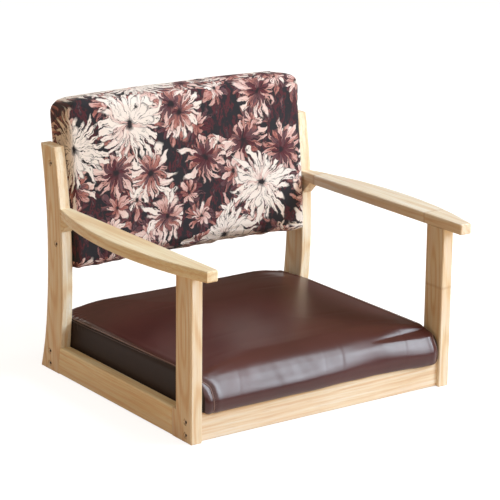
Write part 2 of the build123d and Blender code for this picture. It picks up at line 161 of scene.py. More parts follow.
class Shader:
    """A material with short ways to add and link its nodes."""

    def __init__(self, name):
        self.material = bpy.data.materials.new(name)
        self.material.use_nodes = True
        self.tree = self.material.node_tree
        self.surface = self.tree.nodes["Principled BSDF"]

    def add(self, kind, inputs=None, **settings):
        node = self.tree.nodes.new("ShaderNode" + kind)
        for name, value in settings.items():
            setattr(node, name, value)
        for socket, value in (inputs or {}).items():
            self.put(node, socket, value)
        return node

    def put(self, node, socket, value):
        """A link where the value is an output, and a plain setting otherwise."""
        if isinstance(value, bpy.types.NodeSocket):
            self.tree.links.new(value, node.inputs[socket])
        else:
            node.inputs[socket].default_value = value

    def set(self, **values):
        """Sockets of the surface shader, by their names with underscores."""
        for name, value in values.items():
            self.put(self.surface, name.replace("_", " "), value)

    def math(self, operation, *values, clamp=False):
        node = self.add("Math", dict(enumerate(values)), operation=operation, use_clamp=clamp)
        return node.outputs[0]

    def mix(self, factor, first, second):
        return self.add("Mix", {0: factor, 6: first, 7: second}, data_type="RGBA").outputs[2]

    def ramp(self, factor, *stops):
        """Colours or grey levels at places from 0 to 1."""
        node = self.add("ValToRGB", {0: factor})
        points = node.color_ramp.elements
        while len(points) < len(stops):
            points.new(1.0)
        for point, (place, value) in zip(points, stops):
            point.position = place
            point.color = (value, value, value, 1) if isinstance(value, float) else (*value, 1)
        return node.outputs[0]

    def noise(self, vector, scale, detail=3.0, roughness=0.5):
        inputs = {"Vector": vector, "Scale": scale, "Detail": detail, "Roughness": roughness}
        return self.add("TexNoise", inputs).outputs["Fac"]

    def stretched(self, vector, scale):
        return self.add("Mapping", {"Vector": vector, "Scale": scale}).outputs[0]

    def bump(self, height, distance, strength=1.0, normal=None):
        inputs = {"Height": height, "Distance": distance, "Strength": strength}
        if normal is not None:
            inputs["Normal"] = normal
        return self.add("Bump", inputs).outputs[0]


# Objects

def placed(name, data):
    """New object in the scene."""
    piece = bpy.data.objects.new(name, data)
    bpy.context.scene.collection.objects.link(piece)
    return piece


def mesh_from(build, name):
    """Mesh of a finished bmesh, which is freed."""
    mesh = bpy.data.meshes.new(name)
    build.to_mesh(mesh)
    build.free()
    return mesh


def dress(piece, slot, *nodes):
    """Puts a piece on the chair in place of CAD nodes."""
    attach(piece, "root")
    if nodes:
        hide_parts(*nodes)


# Timber

def wood(name, order, phase, tint, block_length, gloss=0.45, heart=None):
    """Pale hardwood glued up from blocks. The last letter of order is the axis the grain follows.

    A board with a heart, a place inside it, shows arched grain.
    """
    s = Shader(name)
    place = s.add("TexCoord").outputs["Object"]
    axes = s.add("SeparateXYZ", {0: place})
    first, second, along = [axes.outputs["XYZ".index(letter)] for letter in order]
    board = s.add("CombineXYZ", {0: first, 1: second, 2: along}).outputs[0]
    along = s.math("ADD", along, phase)
    stave = s.add("CombineXYZ", {0: first, 1: second, 2: along}).outputs[0]

    blocks = s.math("DIVIDE", along, block_length)
    tone = s.add("TexWhiteNoise", {"W": s.math("FLOOR", blocks)}, noise_dimensions="1D").outputs["Value"]
    shifted = s.add("CombineXYZ", {0: s.math("MULTIPLY_ADD", tone, 0.21, first),
                                   1: s.math("MULTIPLY_ADD", tone, 0.13, second),
                                   2: s.math("MULTIPLY_ADD", tone, 0.7, along)}).outputs[0]
    joint = s.math("PINGPONG", blocks, 0.5)
    joint = s.ramp(s.math("MULTIPLY", joint, block_length), (0.0, 1.0), (0.0004, 0.0))

    swirl = s.noise(s.stretched(shifted, (14, 14, 3.5)), 1.0, 2.0, 0.5)
    figure = 0.25 if heart is None else 0.45
    if heart is None:
        arches = s.add("Mapping", {"Vector": shifted, "Location": (0.03, 0.045, 0),
                                   "Rotation": (0.09, 0.12, 0), "Scale": (1, 1, 0.3)}).outputs[0]
    else:
        within = s.add("VectorMath", {0: board, 1: heart}, operation="SUBTRACT").outputs[0]
        arches = s.add("Mapping", {"Vector": within, "Location": (0.006, 0.009, 0),
                                   "Rotation": (0.25, 0.35, 0), "Scale": (1, 1, 0.3)}).outputs[0]
    rings = s.add("TexWave", {"Vector": arches, "Scale": 30.0, "Distortion": 6.0, "Detail": 2.0,
                              "Detail Scale": 0.5, "Detail Roughness": 0.55},
                  wave_type="RINGS", rings_direction="Z").outputs["Fac"]
    broad = s.noise(s.stretched(shifted, (75, 75, 4.5)), 1.0, 2.0, 0.55)
    hue = s.noise(s.stretched(shifted, (48, 48, 7.0)), 1.0, 1.0, 0.5)
    streaks = s.noise(s.stretched(shifted, (330, 330, 7)), 1.0, 3.0, 0.6)
    pores = s.noise(s.stretched(stave, (1000, 1000, 28)), 1.0, 1.0, 0.5)
    pores = s.ramp(pores, (0.6, 0.0), (0.74, 1.0))

    cream, straw, tan, brown = [tuple(a * b for a, b in zip(shade, tint)) for shade in (
        (0.87, 0.80, 0.69), (0.82, 0.70, 0.52), (0.73, 0.54, 0.34), (0.50, 0.30, 0.15))]
    depth = s.math("MULTIPLY_ADD", s.math("POWER", rings, 2.5), figure, -0.81 - 0.24 * figure)
    for part, share in ((broad, 0.65), (streaks, 1.25), (swirl, 0.5), (tone, 0.2)):
        depth = s.math("MULTIPLY_ADD", part, share, depth)
    colour = s.ramp(depth, (0.15, cream), (0.5, straw), (0.85, tan))
    rosy = s.ramp(hue, (0.48, 0.0), (0.75, 0.4))
    colour = s.mix(rosy, colour, (0.73 * tint[0], 0.51 * tint[1], 0.32 * tint[2], 1))
    marks = s.math("MAXIMUM", s.math("MULTIPLY", pores, 0.4), s.math("MULTIPLY", joint, 0.4))
    colour = s.mix(marks, colour, (*brown, 1))
    s.set(Base_Color=colour, Roughness=s.math("MULTIPLY_ADD", streaks, 0.16, gloss - 0.08))
    s.set(Specular_IOR_Level=0.2)
    relief = s.math("SUBTRACT", streaks, s.math("MULTIPLY", pores, 0.6))
    relief = s.math("SUBTRACT", relief, s.math("MULTIPLY", joint, 1.5))
    s.set(Normal=s.bump(relief, 0.00012, 0.6))
    return s.material


def paint(node, material):
    """Gives a CAD node one material."""
    mesh = frame["nodes"][node].data
    mesh.materials.clear()
    mesh.materials.append(material)


def timber():
    # Tints per board: partly tone that differs from board to board, partly painted light: the rear posts,
    # the side rails and the left arm are made paler to stand in for light that reaches them too little.
    plain, pale, light = (1.0, 1.0, 1.0), (1.01, 1.04, 1.1), (1.09, 1.11, 1.11)
    lifted_for_shade, olive_lifted_for_shade, amber = (1.12, 1.16, 1.08), (1.06, 1.09, 1.04), (0.97, 0.96, 0.93)
    boards = (
        ("left_front_post", "XYZ", 0.065, plain, 0.9), ("right_front_post", "XYZ", 0.136, amber, 0.31),
        ("left_rear_post", "XYZ", 0.42, light, 0.9), ("right_rear_post", "XYZ", 0.03, light, 0.9),
        ("left_side_rail", "XZY", 0.42, lifted_for_shade, 0.9), ("right_side_rail", "XZY", 0.37, olive_lifted_for_shade, 0.9),
        ("left_armrest", "XZY", 0.55, olive_lifted_for_shade, 0.9), ("right_armrest", "XZY", 0.474, pale, 0.31),
        ("front_rail", "YZX", 0.45, pale, 0.9), ("rear_rail", "YZX", 0.4, plain, 0.9),
    )
    for node, order, phase, tint, block_length in boards:
        low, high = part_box(node)
        heart = tuple((low + high) / 2) if node.endswith("post") else None
        paint(node, wood(node + "_wood", order, phase, tint, block_length, heart=heart))
    raw = wood("raw_wood", "YZX", 0.2, (0.85, 0.8, 0.72), 0.9, 0.7)
    for subpart in frame["record"]["subparts"]:
        if subpart["material_slot"] == "inner_wood":
            paint(subpart["node"], raw)


# Metal

def metal(name, colour, roughness):
    s = Shader(name)
    place = s.add("TexCoord").outputs["Object"]
    wear = s.noise(place, 420.0, 4.0, 0.6)
    dark = (colour[0] * 0.7, colour[1] * 0.65, colour[2] * 0.6)
    s.set(Base_Color=s.ramp(wear, (0.3, dark), (0.62, colour)), Metallic=1.0)
    s.set(Roughness=s.math("MULTIPLY_ADD", wear, 0.25, roughness))
    return s.material


def islands(mesh):
    """Corners of the box round each separate solid of a mesh."""
    solid = bmesh.new()
    solid.from_mesh(mesh)
    bmesh.ops.remove_doubles(solid, verts=solid.verts, dist=1e-6)
    left = set(solid.verts)
    found = []
    while left:
        group = {left.pop()}
        edge = list(group)
        while edge:
            near = {link.other_vert(edge[-1]) for link in edge[-1].link_edges} - group
            edge.pop()
            group |= near
            edge += near
        left -= group
        points = np.array([point.co for point in group])
        found.append((points.min(axis=0), points.max(axis=0)))
    solid.free()
    return sorted(found, key=lambda box: tuple(np.round(box[0], 4)))


# Socket bolt, as radius and depth below the top of its head; the first rings are the hexagon socket
bolt_socket = ((0.0024, 0.003), (0.0025, 0.0004))
bolt_turned = ((0.003, 0.0001), (0.0034, 0.0), (0.0038, 0.0002), (0.0041, 0.0005), (0.0043, 0.001),
               (0.0044, 0.0017), (0.0044, 0.0052), (0.005, 0.0056), (0.005, 0.006), (0.003, 0.006))
# The dark wall is painted shade: the socket, the side of the head and its flange sit in the counterbore's
# shade.
bolt_painted_shade_rings = (0, 7, 8, 9)     # rings above a dark wall: the socket, the side of the head and its flange
bolt_around = 36
thread_pitch, thread_groove = 0.001, 0.0004
thread_start, thread_margin = 0.0065, 0.007
thread_radius, tip_radius = 0.003, 0.002


def bolt_profile(length):
    """Rings of a bolt from its socket to its tip: radius, depth and whether they are hexagons."""
    profile = [(radius, depth, True) for radius, depth in bolt_socket]
    profile += [(radius, depth, False) for radius, depth in bolt_turned]
    for k in range(int((length - thread_margin) / thread_pitch)):
        profile.append((thread_radius - thread_groove * (k % 2), thread_start + k * thread_pitch, False))
    profile.append((tip_radius, length, False))
    return profile


def hexagon_reach(radius, turn):
    """Distance from the middle of a hexagon to its edge, with its radius measured to the flats."""
    return radius / math.cos(turn % (math.pi / 3) - math.pi / 6)


def socket_bolts(node, plating, shadow):
    """Turned bolts with domed heads, with painted shade in their sockets and round their heads, in place of
    a node of plain ones.
    """
    turns = [2 * math.pi * k / bolt_around for k in range(bolt_around)]
    build = bmesh.new()
    for low, high in islands(frame["nodes"][node].data):
        side = 1 if high[0] > 0 else -1
        top = high[0] if side > 0 else low[0]
        middle = (low + high) / 2
        rings = []
        for radius, depth, six in bolt_profile(high[0] - low[0]):
            ring = []
            for turn in turns:
                reach = hexagon_reach(radius, turn) if six else radius
                ring.append(build.verts.new((top - side * depth, middle[1] + reach * math.cos(turn),
                                             middle[2] + reach * math.sin(turn))))
            rings.append(ring)
        for place, (a, b) in enumerate(zip(rings, rings[1:])):
            for k in range(bolt_around):
                after = (k + 1) % bolt_around
                corners = (a[k], b[k], b[after], a[after])
                face = build.faces.new(corners if side < 0 else corners[::-1])
                face.material_index = int(place in bolt_painted_shade_rings)
        # The socket's bottom gets the painted shade too.
        bottom = build.faces.new(rings[0] if side > 0 else rings[0][::-1])
        bottom.material_index = 1
        build.faces.new(rings[-1][::-1] if side > 0 else rings[-1])
    bmesh.ops.recalc_face_normals(build, faces=build.faces)
    mesh = mesh_from(build, node + "_turned")
    mesh.materials.append(plating)
    mesh.materials.append(shadow)
    mesh.shade_smooth()
    mesh.set_sharp_from_angle(angle=math.radians(40))
    dress(placed(node + "_turned", mesh), "bolt_brass", node)


def hardware():
    bronze = metal("bronzed_plating", (0.88, 0.64, 0.43), 0.32)
    # Dark metal that paints the shade in the sockets and round the heads.
    socket_painted_shade = metal("socket_shadow", (0.1, 0.065, 0.04), 0.6)
    zinc = metal("zinc_plating", (0.6, 0.6, 0.58), 0.35)
    for subpart in frame["record"]["subparts"]:
        if subpart["material_slot"] == "bolt_brass":
            socket_bolts(subpart["node"], bronze, socket_painted_shade)
        if subpart["material_slot"] == "steel":
            paint(subpart["node"], zinc)


# Pads

def pad_blank(name, nodes):
    """One closed skin round CAD solids, made of even squares."""
    solid = bmesh.new()
    for node in nodes:
        solid.from_mesh(frame["nodes"][node].data)
    blank = placed(name, mesh_from(solid, name))
    remesh = blank.modifiers.new("remesh", "REMESH")
    remesh.mode = "VOXEL"
    remesh.voxel_size = voxel
    remesh.use_smooth_shade = True
    smooth = blank.modifiers.new("smooth", "SMOOTH")
    smooth.iterations = smoothing
    apply_modifiers(blank)
    return blank


def apply_modifiers(piece):
    graph = bpy.context.evaluated_depsgraph_get()
    mesh = bpy.data.meshes.new_from_object(piece.evaluated_get(graph))
    piece.modifiers.clear()
    old = piece.data
    piece.data = mesh
    bpy.data.meshes.remove(old)


def points_of(mesh):
    flat = np.empty(len(mesh.vertices) * 3)
    mesh.vertices.foreach_get("co", flat)
    return flat.reshape(-1, 3)


def normals_of(mesh):
    flat = np.empty(len(mesh.vertices) * 3)
    mesh.vertex_normals.foreach_get("vector", flat)
    return flat.reshape(-1, 3)


def put_points(mesh, points):
    mesh.vertices.foreach_set("co", points.ravel())
    mesh.update()


def eased(values, start, end):
    """Smooth step from 0 at start to 1 at end, which may be the lower of the two."""
    share = np.clip((values - start) / (end - start), 0, 1)
    return share * share * (3 - 2 * share)


def hump(values, middle, width):
    """Bell of height 1."""
    return np.exp(-((values - middle) / width) ** 2)


def rumple(points, height, sizes, seed):
    """Smooth noise of a height, up and down, that changes over the given size along each axis."""
    shift = Vector((seed, 2 * seed, 3 * seed))
    return height * np.array([noise.noise(Vector(place) + shift) for place in points / np.array(sizes)])


def swell(pad, held, cap):
    """Cloth simulation: air presses the skin out, and no point goes further than the cap."""
    before = points_of(pad.data)
    pins = pad.vertex_groups.new(name="held")
    pins.add([int(index) for index in np.flatnonzero(held)], 1.0, "REPLACE")
    cloth = pad.modifiers.new("cloth", "CLOTH")
    cloth.settings.vertex_group_mass = "held"
    cloth.settings.use_pressure = True
    cloth.settings.uniform_pressure_force = air_pressure
    cloth.settings.effector_weights.gravity = 0
    cloth.point_cache.frame_end = cloth_steps
    scene = bpy.context.scene
    for step in range(1, cloth_steps + 1):
        scene.frame_set(step)
    apply_modifiers(pad)
    scene.frame_set(1)
    moved = points_of(pad.data) - before
    length = np.linalg.norm(moved, axis=1, keepdims=True)
    put_points(pad.data, before + moved * np.minimum(1, cap / np.maximum(length, 1e-9)))


def refine(pad):
    finer = pad.modifiers.new("finer", "SUBSURF")
    finer.levels = 1
    apply_modifiers(pad)


def skin_of(pad):
    """Tree for finding places on a pad's skin."""
    graph = bpy.context.evaluated_depsgraph_get()
    return BVHTree.FromObject(pad, graph)


# Seat

def leather(name, colour, gloss, shine):
    s = Shader(name)
    place = s.add("TexCoord").outputs["Object"]
    cloud = s.noise(place, 9.0, 3.0, 0.55)
    grain = s.add("TexVoronoi", {"Vector": place, "Scale": 620.0}, feature="SMOOTH_F1").outputs["Distance"]
    creases = s.noise(s.stretched(place, (170, 40, 30)), 1.0, 2.0, 0.5)
    dark = tuple(0.84 * value for value in colour)
    light = tuple(1.14 * value for value in colour)
    s.set(Base_Color=s.ramp(cloud, (0.3, dark), (0.7, light)), Specular_IOR_Level=shine)
    s.set(Roughness=s.math("MULTIPLY_ADD", cloud, 0.08, gloss - 0.04))
    s.set(Normal=s.bump(grain, 0.00006, 0.4, s.bump(creases, 0.0003, 0.04)))
    return s.material


def seam_lift(y):
    """Height of the side seam above its mean height."""
    return seam_climb * (seam_level - (y - seat_low.y) / (seat_high.y - seat_low.y))


def seam_half(skin, side, place):
    """Half of the seam, from the front lip to the middle of the rear, on the left or right side."""
    front, rear, edge = seat_low.y, seat_high.y - seam_inset, seat_half - seam_inset
    core = Vector((side * place, front + seam_core, 0))
    rays = []
    for height in np.linspace(seat_low.z + seam_foot, seat_low.z + seam_bend, front_points):
        rays.append((core + Vector((0, 0, height)), Vector((0, -1, 0))))
    for share in np.linspace(*turn_shares, turn_points):
        turn = share ** turn_power * math.pi / 2
        outward = side * (edge - place) * share
        height = seat_low.z + seam_bend + share * (seam_height - seam_bend + seam_lift(front))
        level = Vector((side * math.sin(turn), -math.cos(turn), 0))
        rays.append((core + Vector((outward, seam_core_shift * share, height)),
                     level + Vector((0, 0, share * seam_rise))))

    level_rays = []
    for y in np.linspace(front + seam_side, rear - seam_corner, side_points):
        level_rays.append((Vector((side * edge, y, 0)), Vector((side, 0, 0))))
    for angle in np.linspace(0, math.pi / 2, corner_points):
        level = Vector((side * math.cos(angle), math.sin(angle), 0))
        centre = Vector((side * (edge - seam_corner), rear - seam_corner, 0))
        level_rays.append((centre + seam_corner * level, level))
    for x in np.linspace(edge - seam_corner, 0, rear_points)[1:]:
        level_rays.append((Vector((side * x, rear, 0)), Vector((0, 1, 0))))
    for origin, level in level_rays:
        origin.z = seat_low.z + seam_height + seam_lift(origin.y)
        rays.append((origin, level + Vector((0, 0, seam_rise))))
    hits = [skin.ray_cast(*ray)[:2] for ray in rays]
    return [(spot, normal) for spot, normal in hits if spot is not None]


def seam_route(skin):
    """Points and normals of the seam: up the front left, round the sides and rear, down the front right."""
    return seam_half(skin, -1, seam_left) + seam_half(skin, 1, seam_right)[::-1]


def tube(name, points, radius, material):
    """Round cord through points, as a curve with thickness."""
    curve = bpy.data.curves.new(name, "CURVE")
    curve.dimensions = "3D"
    curve.bevel_depth = radius
    curve.bevel_resolution = 2
    curve.use_fill_caps = True
    spline = curve.splines.new("POLY")
    spline.points.add(len(points) - 1)
    for point, place in zip(spline.points, points):
        point.co = (*place, 1)
    curve.materials.append(material)
    return placed(name, curve)


def nearest_on(route, points):
    """Distance of each point from a route, and how far along the route its nearest place is."""
    tree = KDTree(len(route))
    for index, place in enumerate(route):
        tree.insert(place, index)
    tree.balance()
    steps = [0.0] + [(b - a).length for a, b in zip(route, route[1:])]
    travelled = np.cumsum(steps)
    found = [tree.find(place) for place in points]
    return np.array([hit[2] for hit in found]), travelled[[hit[1] for hit in found]]


def fit_to_rails(points):
    """The sides meet the side rails, the front lip hangs over the front rail, the rear corners droop."""
    x, y, z = points.T
    up = z - seat_low.z
    fitted = points.copy()
    side = eased(seat_half - np.abs(x), *side_in) * eased(up, *side_up)
    side *= eased(y - seat_low.y, *side_behind)
    fitted[:, 0] += np.sign(x) * side * (rail_inside - rail_touch - seat_half)
    fitted[:, 2] -= side * hem_drop * eased(up, *hem_up)

    lip = eased(y - rail_face, *lip_behind) * eased(up, *lip_up)
    wave = 1 + rumple(points * np.array((1, 0, 0)), *lip_wave)
    fitted[:, 2] -= lip * wave * (lip_drop + lip_slope * x)

    corner = np.hypot(np.maximum(seat_half - np.abs(x), 0), np.maximum(seat_high.y - y, 0))
    fitted[:, 2] -= corner_droop * eased(up, *droop_up) * eased(corner, *droop_away)
    return fitted


def seam_folds(points, route):
    """The groove of the seam, the fuller cover beside it and the gathers at the rear corners."""
    away, along = nearest_on(route, points)
    total = sum((b - a).length for a, b in zip(route, route[1:]))
    gather = hump(np.minimum(along, total - along), *gather_hump) * hump(away, *gather_away)
    waves = gather * np.sin(along * 2 * math.pi / gather_pitch)
    return seam_puff * hump(away, *puff_hump) - seam_sink * hump(away, *sink_hump) + gather_height * waves


def seat_folds(points, route):
    """How far each point of the seat's skin stands out, in folds, puckers and the sunk seam."""
    x, y, z = points.T
    behind, up = y - seat_low.y, z - seat_low.z
    height = seam_folds(points, route)

    roll = eased(behind, *roll_behind) * eased(up, *roll_up)
    for waves in roll_rumples:
        height += roll * rumple(points, *waves)
    for place, sink, width in roll_creases:
        height -= roll * sink * hump(x - crease_lean * (z - crease_level), place, width)

    climb = (behind + up) / math.sqrt(2)
    flank = eased(seat_half - np.abs(x), *flank_in)
    slanted = eased(behind, *belly_behind) * flank * eased(x, *belly_across)
    hollow = roll_hollow * eased(x, *hollow_across)
    height += slanted * (roll_belly * hump(climb, *belly_hump) - hollow * hump(climb, *hollow_hump))

    rise = climb - (pleat_start + pleat_slope * (x - pleat_left))
    depth = np.clip((x - pleat_left + pleat_lead) / pleat_length, 0, 1)
    upper = np.clip(1 - rise / pleat_round, 0, 1) ** 2
    reach = pleat_reach[0] + pleat_reach[1] * depth
    lower = np.clip(1 + rise / reach, 0, 1)
    height += pleat_puff * depth * (0.5 + 0.5 * flank) * hump(rise + reach, *puff_below)
    return height - pleat_depth * depth * np.where(rise > 0, upper, lower)


def stitches(name, route, skin, material):
    """Short threads on the cover, beside the seam on its inner side."""
    pieces = bmesh.new()
    middle = Vector((0, (seat_low.y + seat_high.y) / 2, 0))
    for (start, up), (end, _) in zip(route[1:], route[2:]):
        if (end - start).length < 1e-4:
            continue
        inward = (middle - start) * Vector((1, 1, 0))
        inward = (inward - up * inward.dot(up)).normalized() * stitch_offset
        a, normal = skin.find_nearest(start + inward)[:2]
        b = skin.find_nearest(start.lerp(end, stitch_share) + inward)[0]
        across = (b - a).normalized().cross(normal).normalized() * stitch_half
        sunk = normal * stitch_sink
        rings = []
        for share, lift in ((0.0, 0.0), (0.25, stitch_crown), (0.75, stitch_crown), (1.0, 0.0)):
            section = (across - sunk, normal * lift, -across - sunk)
            rings.append([pieces.verts.new(a.lerp(b, share) + offset) for offset in section])
        for first, second in zip(rings, rings[1:]):
            for i in range(2):
                pieces.faces.new((first[i], first[i + 1], second[i + 1], second[i]))
    mesh = mesh_from(pieces, name)
    mesh.materials.append(material)
    return placed(name, mesh)


def seat():
    nodes = ["seat_top_cover", "seat_left_band", "seat_right_band", "seat_rear_band", "seat_foam"]
    pad = pad_blank("seat_cushion", nodes + ["seat_board"])
    points = points_of(pad.data)
    low = points[:, 2] < seat_low.z + seat_held_top
    held = low | (np.abs(points[:, 0]) > seat_half - seat_held_side)
    swell(pad, held, seat_swell)
    refine(pad)
    put_points(pad.data, fit_to_rails(points_of(pad.data)))
    route = seam_route(skin_of(pad))
    line = [place for place, normal in route]
    points = points_of(pad.data)
    put_points(pad.data, points + normals_of(pad.data) * seat_folds(points, line)[:, None])

    top = leather("seat_leather", (0.069, 0.0182, 0.0168), 0.3, 0.48)
    band = leather("seat_band_leather", (0.038, 0.0245, 0.021), 0.55, 0.12)
    pad.data.materials.append(top)
    pad.data.materials.append(band)
    for face in pad.data.polygons:
        x, y, z = face.center
        beyond = abs(x) > seat_half - band_inset or y > seat_high.y - band_inset
        face.material_index = int(beyond and z < seat_low.z + band_top + seam_lift(y))
    pad.data.shade_smooth()
    dress(pad, "seat_leather", *nodes)

    skin = skin_of(pad)
    # The cord is lighter than the cover: partly its own colour, partly painted highlight along the seam.
    cord = leather("seat_seam_leather", (0.2, 0.115, 0.1), 0.35, 0.5)
    piping = [skin.find_nearest(place)[0] for place in line]
    dress(tube("seat_seam", piping, seam_radius, cord), "seat_leather")
    front = front_points + turn_points
    lower = [place - Vector((0, 0, band_seam_drop)) for place in line[front:-front]]
    lower = [skin.find_nearest(place)[0] for place in lower]
    edge = leather("seat_band_seam_leather", (0.075, 0.043, 0.038), 0.45, 0.3)
    dress(tube("seat_band_seam", lower, band_seam_radius, edge), "seat_leather")
    s = Shader("seat_thread")
    twist = s.noise(s.add("TexCoord").outputs["Object"], 2600.0, 2.0, 0.6)
    s.set(Base_Color=s.ramp(twist, (0.35, (0.11, 0.06, 0.046)), (0.65, (0.24, 0.135, 0.105))), Roughness=0.6)
    dress(stitches("seat_stitches", route, skin, s.material), "seat_leather")


# Back

def petals(s, place, size, count, reach, seed, chance, stops):
    """One layer of flowers for a printed cloth: where they are, and their colour."""
    place = s.add("Mapping", {"Vector": place, "Location": (seed, 1.7 * seed, 0)}).outputs[0]
    cell = s.add("TexVoronoi", {"Vector": place, "Scale": 1 / size, "Randomness": 0.85},
                 voronoi_dimensions="2D")
    from_middle = s.add("VectorMath", {0: place, 1: cell.outputs["Position"]}, operation="SUBTRACT")
    radius = s.add("VectorMath", {0: from_middle.outputs[0]}, operation="LENGTH").outputs["Value"]
    offset = s.add("SeparateXYZ", {0: from_middle.outputs[0]})
    luck = s.add("SeparateColor", {0: cell.outputs["Color"]})
    angle = s.math("ARCTAN2", offset.outputs[1], offset.outputs[0])
    sway = s.math("SUBTRACT", s.noise(place, 26.0, 1.0), 0.5)
    turn = s.math("MULTIPLY_ADD", angle, count / (2 * math.pi), s.math("MULTIPLY", luck.outputs[0], 9.0))
    turn = s.math("MULTIPLY_ADD", sway, 2.2, turn)
    number = s.math("FLOOR", turn)
    across = s.math("SUBTRACT", s.math("FRACT", turn), 0.5)
    pair = s.add("CombineXYZ", {0: number, 1: s.math("MULTIPLY", luck.outputs[0], 57.0)}).outputs[0]
    chosen = s.add("TexWhiteNoise", {"Vector": pair}, noise_dimensions="2D").outputs["Value"]

    length = s.math("MULTIPLY", s.math("MULTIPLY_ADD", chosen, 0.45, 0.62), reach)
    out = s.math("DIVIDE", radius, length)
    edge = s.math("MULTIPLY_ADD", s.math("POWER", s.math("ABSOLUTE", across), 2.0), -2.3, 1.0)
    inside = s.math("SUBTRACT", edge, out)
    here = s.math("GREATER_THAN", luck.outputs[1], 1 - chance)
    mask = s.math("MULTIPLY", s.math("MULTIPLY", inside, 26.0, clamp=True), here)

    brush = s.add("CombineXYZ", {0: s.math("MULTIPLY", turn, 4.2), 1: s.math("MULTIPLY", radius, 48.0),
                                 2: s.math("MULTIPLY", luck.outputs[2], 31.0)}).outputs[0]
    strokes = s.noise(brush, 1.0, 3.0, 0.65)
    shade = s.math("MULTIPLY_ADD", chosen, 0.34, s.math("MULTIPLY", luck.outputs[2], 0.3))
    shade = s.math("MULTIPLY_ADD", strokes, 0.6, s.math("SUBTRACT", shade, 0.22))
    shade = s.math("MULTIPLY_ADD", out, 0.22, s.math("SUBTRACT", shade, 0.08))
    colour = s.ramp(shade, *stops)
    ink = s.ramp(strokes, (0.37, 1.0), (0.43, 0.0))
    rim = s.ramp(inside, (0.03, 1.0), (0.11, 0.0))
    heart = s.ramp(out, (0.1, 1.0), (0.24, 0.0))
    dark = s.math("MAXIMUM", s.math("MAXIMUM", ink, s.math("MULTIPLY", rim, 0.8)), heart)
    return mask, s.mix(dark, colour, (0.021, 0.016, 0.02, 1))


def print_cloth():
    """Woven cloth printed with painterly flowers on charcoal."""
    s = Shader("back_fabric")
    place = s.add("UVMap", uv_map="print").outputs[0]
    wobble = s.add("TexNoise", {"Vector": place, "Scale": 34.0, "Detail": 4.0, "Roughness": 0.6})
    wobble = s.add("VectorMath", {0: wobble.outputs["Color"], 1: (-0.5, -0.5, -0.5)}, operation="ADD")
    drawn = s.add("VectorMath", {0: wobble.outputs[0], 1: (0.022, 0.022, 0), 2: place},
                  operation="MULTIPLY_ADD").outputs[0]

    charcoal, burgundy, mauve = (0.021, 0.02, 0.026), (0.12, 0.023, 0.032), (0.13, 0.068, 0.082)
    rust, blush, cream = (0.42, 0.15, 0.125), (0.78, 0.52, 0.48), (0.95, 0.87, 0.82)
    blot = s.noise(s.stretched(drawn, (70, 24, 1)), 1.0, 4.0, 0.65)
    colour = s.ramp(blot, (0.5, charcoal), (0.56, burgundy), (0.6, charcoal), (0.66, mauve), (0.72, rust))
    dusk = ((0.1, charcoal), (0.3, burgundy), (0.5, mauve), (0.62, rust), (0.8, blush))
    glow = ((0.1, burgundy), (0.28, rust), (0.46, blush), (0.68, cream))
    pale = ((0.02, rust), (0.16, blush), (0.36, cream), (0.8, cream))
    layers = (
        (0.058, 13, 0.04, 0.31, 0.75, dusk), (0.058, 9, 0.026, 0.31, 0.75, glow),
        (0.084, 17, 0.058, 2.63, 0.62, glow), (0.084, 12, 0.036, 2.63, 0.62, dusk),
        (0.122, 23, 0.085, 3.44, 0.68, pale), (0.122, 15, 0.054, 3.44, 0.68, pale),
    )
    for size, count, reach, seed, chance, stops in layers:
        mask, flower = petals(s, drawn, size, count, reach, seed, chance, stops)
        colour = s.mix(mask, colour, flower)
    threads = [s.add("TexWave", {"Vector": place, "Scale": 350.0, "Distortion": 0.6},
                     bands_direction=axis).outputs["Fac"] for axis in ("X", "Y")]
    weave = s.math("MAXIMUM", *threads)
    s.set(Base_Color=s.mix(s.math("MULTIPLY", weave, 0.12), colour, (0.02, 0.018, 0.02, 1)))
    s.set(Roughness=0.82, Specular_IOR_Level=0.25, Sheen_Weight=0.08, Sheen_Roughness=0.5)
    s.set(Normal=s.bump(weave, 0.00018, 0.5))
    return s.material


def back_frame(points):
    """Places in the leaning back's own frame: across, up the lean and out to the front."""
    rise, lean = math.cos(back_lean), math.sin(back_lean)
    x, y, z = points.T
    return np.stack([x, lean * y + rise * z, lean * z - rise * y], axis=1)


def back_folds(local):
    """How far the cover stands out, in soft rumples and the gathers of its lower edge."""
    across, up, out = local.T
    foot = up.min()
    low = eased(up - foot, *hem_zone)
    height = rumple(local, *back_rumple) + low * rumple(local, *hem_rumple)
    tuck = hump(up - foot - tuck_sway * np.sin(across * tuck_waves), *tuck_hump)
    return height - hem_tuck * tuck * low * eased(across, *tuck_across)


def lay_print(mesh):
    """Map of the printed cloth, in metres, which wraps over the top and round the sides."""
    across, up, out = back_frame(points_of(mesh)).T
    half, top, foot, front = np.abs(across).max(), up.max(), up.min(), out.max()
    turned = np.maximum(front - out, 0)
    u = across + np.sign(across) * turned * eased(np.abs(across), half - print_wrap, half)
    v = up + turned * (eased(up, top - print_wrap, top) - eased(up, foot + print_wrap, foot))
    over_top = 2 * top + (front - out.min()) - up
    corners = np.empty(len(mesh.loops), int)
    mesh.loops.foreach_get("vertex_index", corners)
    turns = np.array([back_frame(np.array([face.normal]))[0][2] for face in mesh.polygons])
    sizes = np.empty(len(mesh.polygons), int)
    mesh.polygons.foreach_get("loop_total", sizes)
    behind = np.repeat(turns < rear_facing, sizes)
    layer = mesh.uv_layers.new(name="print")
    flat = np.stack([np.where(behind, across[corners], u[corners]),
                     np.where(behind, over_top[corners], v[corners])], axis=1)
    layer.data.foreach_set("uv", flat.ravel())


